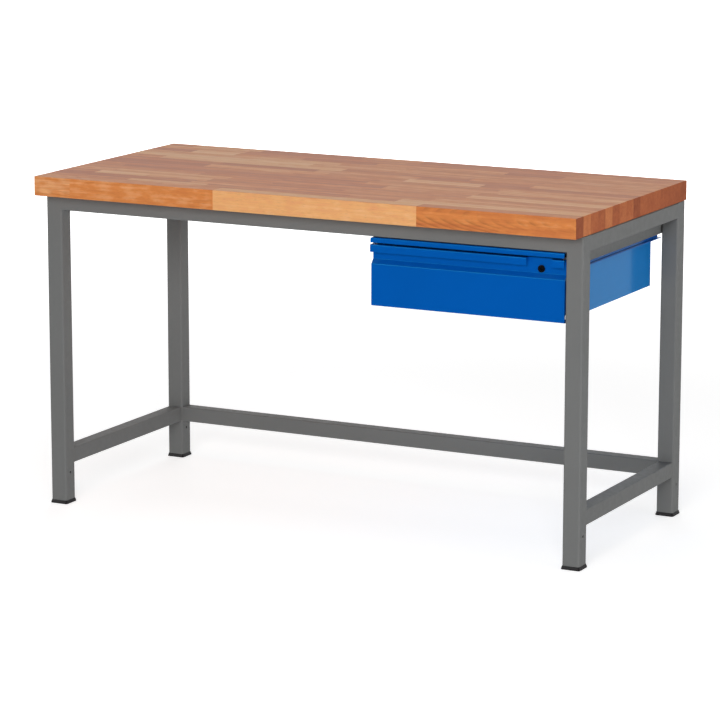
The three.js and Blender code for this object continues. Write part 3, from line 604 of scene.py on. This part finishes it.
def weld_column(bm, corner, inwards, open_sides):
    """A column at a leg's corner, from there inwards, with its open lower edges rounded."""
    size = Vector((LEG_CORNER, LEG_CORNER, rail_high - rail_low))
    middle = Vector((*corner, (rail_low + rail_high) / 2))
    middle += Vector((inwards[0] * LEG_CORNER / 2, inwards[1] * LEG_CORNER / 2, 0))
    place = Matrix.Translation(middle) @ Matrix.Diagonal((*size, 1.0))
    verts = bmesh.ops.create_cube(bm, size=1.0, matrix=place)["verts"]
    low_edges = []
    for edge in in_order(edge for vert in verts for edge in vert.link_edges):
        spot = (edge.verts[0].co + edge.verts[1].co) / 2 - middle
        open_x = "x" in open_sides and spot.x * inwards[0] < -LEG_CORNER / 4
        open_y = "y" in open_sides and spot.y * inwards[1] < -LEG_CORNER / 4
        if spot.z < -size.z / 4 and (open_x or open_y):
            low_edges.append(edge)
    bmesh.ops.bevel(
        bm, geom=low_edges, offset=RAIL_CORNER, segments=CORNER_STEPS, profile=0.5,
        affect="EDGES", material=-1,
    )


print("weld height:", round(rail_high - rail_low, 4))

# %% Ground welds
weld_bm = bmesh.new()
for end in ("front", "back"):
    for side in ("left", "right"):
        low, high = map(Vector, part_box(f"leg_{end}_{side}"))
        inner_x, outer_x = (low.x, high.x) if side == "right" else (high.x, low.x)
        inner_y, outer_y = (high.y, low.y) if end == "front" else (low.y, high.y)
        to_x = math.copysign(1, outer_x - inner_x)
        to_y = math.copysign(1, outer_y - inner_y)
        weld_column(weld_bm, (inner_x, outer_y), (to_x, -to_y), "y")
        weld_column(weld_bm, (outer_x, inner_y), (-to_x, to_y), "x")
        weld_column(weld_bm, (inner_x, inner_y), (to_x, to_y), "xy")
soften(weld_bm)
welds = new_piece("ground_welds", weld_bm, (grey_coat,), "frame")
even_shading(welds)
print("weld faces:", len(welds.data.polygons))

# %% [markdown]
# ## Screws
#
# Button-head screws with a hexagon socket hold the top, the carriers, the drawer unit and the
# lock's cam. Each is turned like on a lathe: an outline of dome, seat and thread is spun once
# around. Rings stand for the thread, because a true helix would cost many more faces and look the
# same at this size. The hole left in the dome is joined to a hexagon, and the hexagon is pushed in.

# %% Outlines for the lathe
TURN_STEPS = 24


def turn_outline(outline):
    """Spins (radius, height) points once around Z."""
    bm = bmesh.new()
    verts = [bm.verts.new((radius, 0, height)) for radius, height in outline]
    edges = [bm.edges.new(pair) for pair in zip(verts, verts[1:])]
    bmesh.ops.spin(
        bm, geom=[*verts, *edges], cent=(0, 0, 0), axis=(0, 0, 1), dvec=(0, 0, 0),
        angle=2 * math.pi, steps=TURN_STEPS, use_merge=True,
    )
    bmesh.ops.remove_doubles(bm, verts=bm.verts, dist=MERGE_DISTANCE)
    return bm


def rounded_rim(radius, width, height, steps):
    """Outline points of a rim that rounds over from its flat to its side."""
    angles = [step / steps * math.pi / 2 for step in range(steps + 1)]
    return [
        (radius - width * (1 - math.sin(angle)), height * (1 - math.cos(angle))) for angle in angles
    ]


def thread(radius, start, end, pitch, depth):
    """Outline points of a row of thread rings."""
    rings = max(int((end - start) / pitch), 1)
    points = []
    for ring in range(rings):
        low = start + ring * pitch
        points += [(radius - depth, low), (radius, low + pitch / 2)]
    return [*points, (radius - depth, start + rings * pitch)]


print("lathe steps:", TURN_STEPS)


# %% Sockets and finished turned pieces
def sink(bm, corners, radius, half_length, angle, depth):
    """Joins the open rim to a slot or polygon inside it and pushes that in."""
    rim = [edge for edge in bm.edges if edge.is_boundary]
    verts = bmesh.ops.create_circle(bm, segments=corners, radius=radius)["verts"]
    for vert in verts:
        vert.co.y += math.copysign(half_length, vert.co.y) if abs(vert.co.y) > radius / 10 else 0
    bmesh.ops.rotate(bm, verts=verts, cent=(0, 0, 0), matrix=Matrix.Rotation(angle, 3, "Z"))
    outline = in_order(edge for vert in verts for edge in vert.link_edges)
    bmesh.ops.bridge_loops(bm, edges=[*rim, *outline])
    walls = bmesh.ops.extrude_edge_only(bm, edges=outline)["geom"]
    floor_verts = [item for item in walls if isinstance(item, bmesh.types.BMVert)]
    bmesh.ops.translate(bm, vec=(0, 0, depth), verts=floor_verts)
    floor_edges = [edge for edge in bm.edges if edge.is_boundary]
    bmesh.ops.edgeloop_fill(bm, edges=floor_edges)


def add_turned(name, bm, place, body, slot, replaced):
    """Puts a turned piece in its place, instead of its plain solid."""
    bmesh.ops.transform(bm, matrix=place, verts=bm.verts)
    bmesh.ops.recalc_face_normals(bm, faces=bm.faces)
    soften(bm)
    piece = new_piece(name, bm, (finishes[slot],), body)
    even_shading(piece)
    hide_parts(replaced)


print("lathe ready")

# %% Screws
HEAD_HEIGHT = 0.003
HEAD_CROWN = 0.0025
HEAD_OVERHANG = 0.003
DOME_STEPS = 5
SOCKET_CORNERS = 6
SOCKET_WIDTH = 0.7
SOCKET_DEPTH = 0.6
THREAD_DEPTH = 0.0003
THREADS_PER_SHANK = 2.5
NECK_LENGTH = 0.25
TIP_LENGTH = 0.8
TIP_WIDTH = 0.4


def button_screw(name):
    low, high = (Vector(corner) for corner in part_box(name))
    middle = (low + high) / 2
    lies = name == "lock_cam_screw"
    length = high.y - low.y if lies else high.z - low.z
    head = (high.x - low.x) / 2
    shank = head - HEAD_OVERHANG
    thread_start = HEAD_HEIGHT + shank * NECK_LENGTH
    thread_end = length - TIP_LENGTH * shank
    outline = rounded_rim(head, HEAD_CROWN, HEAD_HEIGHT, DOME_STEPS)
    outline.append((shank, HEAD_HEIGHT))
    outline += thread(shank, thread_start, thread_end, shank / THREADS_PER_SHANK, THREAD_DEPTH)
    outline += [(shank * TIP_WIDTH, length), (0, length)]
    bm = turn_outline(outline)
    socket_radius = (head - HEAD_CROWN) * SOCKET_WIDTH
    socket_depth = HEAD_HEIGHT * SOCKET_DEPTH
    sink(bm, SOCKET_CORNERS, socket_radius, half_length=0, angle=0, depth=socket_depth)
    place = Matrix.Translation((middle.x, middle.y, low.z))
    if lies:
        place = Matrix.Translation((middle.x, high.y, middle.z))
        place = place @ Matrix.Rotation(math.pi / 2, 4, "X")
    add_turned(f"{name}_socket", bm, place, body_of(nodes[name])[0], "zinc", name)


screw_names = [name for name in nodes if "_screw" in name or "_bolt" in name]
for name in screw_names:
    button_screw(name)
print("screws:", len(screw_names))

# %% [markdown]
# ## Lock
#
# The lock is a turned barrel with a rounded rose in front, and a plug with a slanting keyway turns
# in it. Both could stay faceted, but they are spun from outlines too, so the rim catches light as
# one even ring. The thread of the barrel carries the nut behind the sheet.

# %% Lock barrel
ROSE_HEIGHT = 0.003
ROSE_EDGE = 0.001
ROSE_STEPS = 4
BARREL_RADIUS = 0.008
BARREL_NECK = 0.001
BARREL_PITCH = 0.001
PLUG_PLAY = 0.0001

body_low, body_high = (Vector(corner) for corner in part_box("lock_body"))
plug_low, plug_high = (Vector(corner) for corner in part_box("lock_plug"))
lock_middle = (body_low + body_high) / 2
rose_radius = (body_high.x - body_low.x) / 2
plug_radius = (plug_high.x - plug_low.x) / 2
bore = plug_radius + PLUG_PLAY
barrel_length = body_high.y - body_low.y
into_lock = Matrix.Rotation(-math.pi / 2, 4, "X")

thread_ends = ROSE_HEIGHT + BARREL_NECK, barrel_length - BARREL_NECK
barrel_thread = thread(BARREL_RADIUS, *thread_ends, BARREL_PITCH, THREAD_DEPTH)
outline = [
    (bore, 0),
    *rounded_rim(rose_radius, ROSE_EDGE, ROSE_EDGE, ROSE_STEPS),
    (rose_radius, ROSE_HEIGHT),
    (BARREL_RADIUS, ROSE_HEIGHT),
    *barrel_thread,
    (BARREL_RADIUS - THREAD_DEPTH, barrel_length),
    (bore, barrel_length),
    (bore, 0),
]
front = Matrix.Translation((lock_middle.x, body_low.y, lock_middle.z)) @ into_lock
add_turned("lock_barrel", turn_outline(outline), front, "drawer", "black_lock", "lock_body")
print("barrel length:", round(barrel_length, 4))

# %% Lock plug
PLUG_CHAMFER = 0.0004
TANG_RADIUS = 0.003
TANG_LENGTH = 0.0023
KEYWAY_CORNERS = 12
KEYWAY_RADIUS = 0.0009
KEYWAY_HALF = 0.0031
KEYWAY_TURN = -0.8
KEYWAY_DEPTH = 0.006

plug_length = plug_high.y - plug_low.y
outline = [
    (plug_radius - PLUG_CHAMFER, 0),
    (plug_radius, PLUG_CHAMFER),
    (plug_radius, plug_length - TANG_LENGTH),
    (TANG_RADIUS, plug_length - TANG_LENGTH),
    (TANG_RADIUS, plug_length),
    (0, plug_length),
]
plug_bm = turn_outline(outline)
sink(plug_bm, KEYWAY_CORNERS, KEYWAY_RADIUS, KEYWAY_HALF, KEYWAY_TURN, KEYWAY_DEPTH)
front = Matrix.Translation((lock_middle.x, plug_low.y, lock_middle.z)) @ into_lock
add_turned("lock_keyed_plug", plug_bm, front, "lock_cylinder", "black_lock", "lock_plug")
print("plug length:", round(plug_length, 4))

# %% [markdown]
# ## Worktop
#
# A glued top has rows of sticks along its length, with butt joints that never line up from row to
# row. It could be many blocks side by side, but the real top is planed as one piece, so here one
# block gets its arris first and is then only scored: a cutting plane for each glue line, and one
# for each butt joint inside its row. Every face then learns the tone, the heart and the seed of its
# stick. The front row has the joints of the photograph and the right end its tones, the rest comes
# from a seeded dice.

# %% Rows and joints
STAVE_ROWS = 16
STAVE_LENGTHS = (0.13, 0.38)
FIRST_STAVE = 0.08
DICE_SEED = 7
FRONT_JOINTS = (-0.644, -0.228, 0.333)
top_low, top_high = (Vector(corner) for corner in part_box("worktop"))
stave_width = (top_high.y - top_low.y) / STAVE_ROWS
middle_z = (top_low.z + top_high.z) / 2
dice = random.Random(DICE_SEED)


def row_ends():
    """Where the sticks of a row behind the front one end."""
    ends = [top_low.x + dice.uniform(FIRST_STAVE, STAVE_LENGTHS[1])]
    while ends[-1] < top_high.x - 2 * STAVE_LENGTHS[0]:
        ends.append(ends[-1] + dice.uniform(*STAVE_LENGTHS))
    ends[-1] = top_high.x
    return ends


print("stave width:", round(stave_width, 4))

# %% Layout of the staves
FRONT_TONES = (0.56, 0.49, 0.765, 0.4)
FRONT_FIGURE = 0.4
FRONT_RINGS = (0.14, 0.08, 0.03, 0.27)
FRONT_HEARTS = (
    (-0.09, -0.40, 0.83), (0.02, -0.352, 0.838), (0.006, -0.36, 0.80), (0.1, -0.46, 0.852),
)
FRONT_END_TONE = 0.25
RIGHT_END_TONES = (
    0.85, 0.55, 0.45, 0.85, 0.4, 0.6, 0.6, 0.25, 0.55, 0.45, 0.5, 0.4, 0.4, 0.4, 0.3,
)
TOP_FIGURE = 1.0
TONE_TOP = 0.98
TONE_SPREAD = 1.6
RING_STRENGTHS = (0.03, 0.1)
HEART_DISTANCES = (0.02, 0.09)
HEART_LEANS = (-0.05, 0.05)


def stave(end, tone, rings, heart, figure):
    seed = dice.random()
    return {
        "end": end, "tone": tone, "rings": rings, "heart": heart, "figure": figure, "seed": seed,
    }


def row_staves(row):
    """The sticks of one row, each with where it ends, its tone and its growth rings."""
    if row == 0:
        front = zip((*FRONT_JOINTS, top_high.x), FRONT_TONES, FRONT_RINGS, FRONT_HEARTS)
        return [stave(*facts, FRONT_FIGURE) for facts in front]
    staves = []
    for end in row_ends():
        angle = dice.uniform(0, 2 * math.pi)
        distance = dice.uniform(*HEART_DISTANCES)
        heart_y = top_low.y + (row + 0.5) * stave_width + distance * math.cos(angle)
        heart = (dice.uniform(*HEART_LEANS), heart_y, middle_z + distance * math.sin(angle))
        tone = TONE_TOP * dice.betavariate(TONE_SPREAD, TONE_SPREAD)
        staves.append(stave(end, tone, dice.uniform(*RING_STRENGTHS), heart, TOP_FIGURE))
    staves[-1]["tone"] = RIGHT_END_TONES[row - 1]
    return staves


layout = [row_staves(row) for row in range(STAVE_ROWS)]
print("staves:", sum(len(staves) for staves in layout))

# %% Block of the worktop, scored into staves
TOP_ARRIS = 0.0012
ARRIS_STEPS = 2


def score(bm, faces, spot, normal):
    """Draws a line across faces, where a plane cuts them."""
    edges = in_order(edge for face in faces for edge in face.edges)
    verts = in_order(vert for face in faces for vert in face.verts)
    cut = [*faces, *edges, *verts]
    bmesh.ops.bisect_plane(bm, geom=cut, plane_co=spot, plane_no=normal, dist=MERGE_DISTANCE)


def row_of(face):
    row = math.floor((face.calc_center_median().y - top_low.y) / stave_width)
    return min(max(row, 0), STAVE_ROWS - 1)


top_bm = bmesh.new()
bmesh.ops.create_cube(top_bm, size=1.0)
bmesh.ops.scale(top_bm, vec=top_high - top_low, verts=top_bm.verts)
bmesh.ops.translate(top_bm, vec=(top_high + top_low) / 2, verts=top_bm.verts)
bmesh.ops.bevel(
    top_bm, geom=top_bm.edges[:], offset=TOP_ARRIS, segments=ARRIS_STEPS, profile=0.5,
    affect="EDGES", material=-1,
)
for row in range(1, STAVE_ROWS):
    glue_line = Vector((0, top_low.y + row * stave_width, 0))
    score(top_bm, top_bm.faces[:], glue_line, Vector((0, 1, 0)))
for row, staves in enumerate(layout):
    for stick in staves[:-1]:
        row_faces = [face for face in top_bm.faces if row_of(face) == row]
        score(top_bm, row_faces, Vector((stick["end"], 0, 0)), Vector((1, 0, 0)))
print("faces of the block:", len(top_bm.faces))

# %% Tones and rings of the staves
END_FACING = 0.9
END_MATERIAL = 1
layers = {
    fact: top_bm.faces.layers.float.new(f"stave_{fact}")
    for fact in ("tone", "seed", "rings", "figure")
}
heart_layer = top_bm.faces.layers.float_vector.new("stave_heart")
top_bm.normal_update()
for face in top_bm.faces:
    row = row_of(face)
    centre = face.calc_center_median()
    stick = next((item for item in layout[row] if centre.x < item["end"]), layout[row][-1])
    for fact, layer in layers.items():
        face[layer] = stick[fact]
    face[heart_layer] = Vector(stick["heart"])
    if abs(face.normal.x) > END_FACING:
        face.material_index = END_MATERIAL
        if row == 0:
            face[layers["tone"]] = FRONT_END_TONE

worktop = new_piece("worktop_staves", top_bm, (beech, beech_end), "frame")
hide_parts("worktop")
print("worktop faces:", len(worktop.data.polygons))

# %% [markdown]
# ## Stage
#
# The bench stands on a plain white floor. Stronger lamps could make it white, but they would bleach
# the bench, so the camera simply sees floor and surroundings white. Like a real studio, the room
# that mirrors in the coats is bright behind the bench and dim behind the camera, where only a
# softbox up on the left draws thin lights along the bends. To all other rays the floor is a plain
# pale surface, so the light stays moderate and the floor keeps the shadow of the bench. From below
# the floor is clear, so the underside can be looked at too.

# %% Kinds of rays
MIRROR_DIM = 0.12


def seen_mask(tree):
    """One for rays of the camera and through glass."""
    rays = tree.nodes.new("ShaderNodeLightPath").outputs
    return calc(tree, "MAXIMUM", rays["Is Camera Ray"], rays["Is Transmission Ray"])


def mirror_mask(tree):
    """One for rays that a glossy surface sends on."""
    return tree.nodes.new("ShaderNodeLightPath").outputs["Is Glossy Ray"]


def depth_level(tree, place, front, back, bright):
    """The room's brightness in reflections, from dim in front to bright behind."""
    return remap(tree, split(tree, place)["Y"], front, back, MIRROR_DIM, bright)


print("dimmest reflection:", MIRROR_DIM)


# %% Shaders of the floor
def mix_shaders(tree, mask, first, second):
    node = tree.nodes.new("ShaderNodeMixShader")
    for socket, value in zip(node.inputs, (mask, first, second)):
        feed(tree, socket, value)
    return node.outputs[0]


def emission(tree, strength):
    node = tree.nodes.new("ShaderNodeEmission")
    feed(tree, node.inputs["Strength"], strength)
    return node.outputs[0]


def glowing(tree, color, strength):
    """A matt surface with a glow of its own."""
    matt = tree.nodes.new("ShaderNodeBsdfDiffuse")
    matt.inputs["Color"].default_value = color
    node = tree.nodes.new("ShaderNodeAddShader")
    feed(tree, node.inputs[0], matt.outputs[0])
    feed(tree, node.inputs[1], emission(tree, strength))
    return node.outputs[0]


print("floor shaders ready")

# %% Floor
FLOOR_SIZE = 80.0
FLOOR_GAP = 0.0003
FLOOR_COLOR = (0.8, 0.8, 0.8, 1.0)
FLOOR_LIGHT = 0.36
FLOOR_GLOW = 0.62
GLOW_DISTANCES = (1.5, 5.0)
FLOOR_MIRROR = 0.5
FLOOR_MIRROR_SPAN = (-2.0, 1.5)

floor_paint = bpy.data.materials.new("floor_paint")
floor_paint.use_nodes = True
tree = floor_paint.node_tree
tree.nodes.remove(tree.nodes["Principled BSDF"])
away = tree.nodes.new("ShaderNodeVectorMath")
away.operation = "LENGTH"
feed(tree, away.inputs[0], object_place(tree))
glow = remap(tree, away.outputs["Value"], *GLOW_DISTANCES, FLOOR_GLOW, 1.0)
mirror = depth_level(tree, object_place(tree), *FLOOR_MIRROR_SPAN, FLOOR_MIRROR)
plain = glowing(tree, FLOOR_COLOR, FLOOR_LIGHT)
surface = mix_shaders(tree, mirror_mask(tree), plain, emission(tree, mirror))
surface = mix_shaders(tree, seen_mask(tree), surface, glowing(tree, FLOOR_COLOR, glow))
clear = tree.nodes.new("ShaderNodeBsdfTransparent").outputs[0]
from_below = tree.nodes.new("ShaderNodeNewGeometry").outputs["Backfacing"]
surface = mix_shaders(tree, from_below, surface, clear)
feed(tree, tree.nodes["Material Output"].inputs["Surface"], surface)

floor_bm = bmesh.new()
bmesh.ops.create_grid(floor_bm, x_segments=1, y_segments=1, size=FLOOR_SIZE / 2)
bmesh.ops.translate(floor_bm, vec=(0, 0, -FLOOR_GAP), verts=floor_bm.verts)
floor_mesh = bpy.data.meshes.new("floor")
floor_bm.to_mesh(floor_mesh)
floor_bm.free()
floor_mesh.materials.append(floor_paint)
floor = bpy.data.objects.new("floor", floor_mesh)
bpy.context.scene.collection.objects.link(floor)
print("floor:", floor.name)

# %% World
WORLD_LIGHT = 0.2
WORLD_MIRROR = 1.0
WORLD_MIRROR_SPAN = (-0.6, 0.3)
SOFTBOX_MIRROR = 2.2
SOFTBOX_SIDE = Vector((-0.45, -0.65, 0.6)).normalized()
SOFTBOX_EDGE = (0.82, 0.9)
WHITE = (1.0, 1.0, 1.0, 1.0)

world = bpy.data.worlds.new("studio")
world.use_nodes = True
bpy.context.scene.world = world
tree = world.node_tree
background = tree.nodes["Background"]
background.inputs["Color"].default_value = WHITE
sky = tree.nodes.new("ShaderNodeTexCoord").outputs["Generated"]
aim = tree.nodes.new("ShaderNodeVectorMath")
aim.operation = "DOT_PRODUCT"
feed(tree, aim.inputs[0], sky)
aim.inputs[1].default_value = SOFTBOX_SIDE
softbox = remap(tree, aim.outputs["Value"], *SOFTBOX_EDGE, 0.0, SOFTBOX_MIRROR)
room = calc(tree, "ADD", softbox, depth_level(tree, sky, *WORLD_MIRROR_SPAN, WORLD_MIRROR))
mirrored = calc(tree, "MULTIPLY", mirror_mask(tree), room)
lit = calc(tree, "MAXIMUM", mirrored, seen_mask(tree))
plain_rays = calc(tree, "MAXIMUM", mirror_mask(tree), seen_mask(tree))
plain_rays = calc(tree, "SUBTRACT", 1.0, plain_rays)
level = calc(tree, "ADD", lit, calc(tree, "MULTIPLY", plain_rays, WORLD_LIGHT))
feed(tree, background.inputs["Strength"], level)
print("world:", world.name)

# %% [markdown]
# ## Lamps
#
# Four large soft lamps light the bench at a plain level, at which a colour looks about as it is
# written. The key lamp stands near the camera and the side lamp low on the right, so that the legs
# are even in tone. A weak lamp hangs above the top and one stands behind, for the other views.
# Small lamps would be brighter in spots and throw hard shadows. None of them shows in the coats,
# since the room already does.

# %% Lamps
LAMPS = {
    "key_lamp": {
        "spot": (2.4, -7.2, 3.0), "target": (0.0, -0.3, 0.5), "size": (4.5, 2.4), "power": 345.0,
    },
    "side_lamp": {
        "spot": (7.0, -1.0, 0.4), "target": (0.5, 0.0, 0.6), "size": (3.0, 0.8), "power": 125.0,
    },
    "top_lamp": {
        "spot": (0.0, -0.5, 4.0), "target": (0.0, 0.0, 0.8), "size": (3.0, 3.0), "power": 20.0,
    },
    "back_lamp": {
        "spot": (-3.0, 7.0, 1.5), "target": (0.0, 0.0, 0.5), "size": (4.0, 2.0), "power": 200.0,
    },
}


def soft_lamp(name, spot, target, size, power):
    data = bpy.data.lights.new(name, "AREA")
    data.shape = "RECTANGLE"
    data.size, data.size_y = size
    data.energy = power
    lamp = bpy.data.objects.new(name, data)
    lamp.location = spot
    lamp.rotation_euler = (Vector(target) - Vector(spot)).to_track_quat("-Z", "Y").to_euler()
    lamp.visible_camera = False
    lamp.visible_glossy = False
    bpy.context.scene.collection.objects.link(lamp)


for name, lamp_facts in LAMPS.items():
    soft_lamp(name, **lamp_facts)
view_settings = bpy.context.scene.view_settings
view_settings.view_transform = "Standard"
print("lamps:", ", ".join(LAMPS))
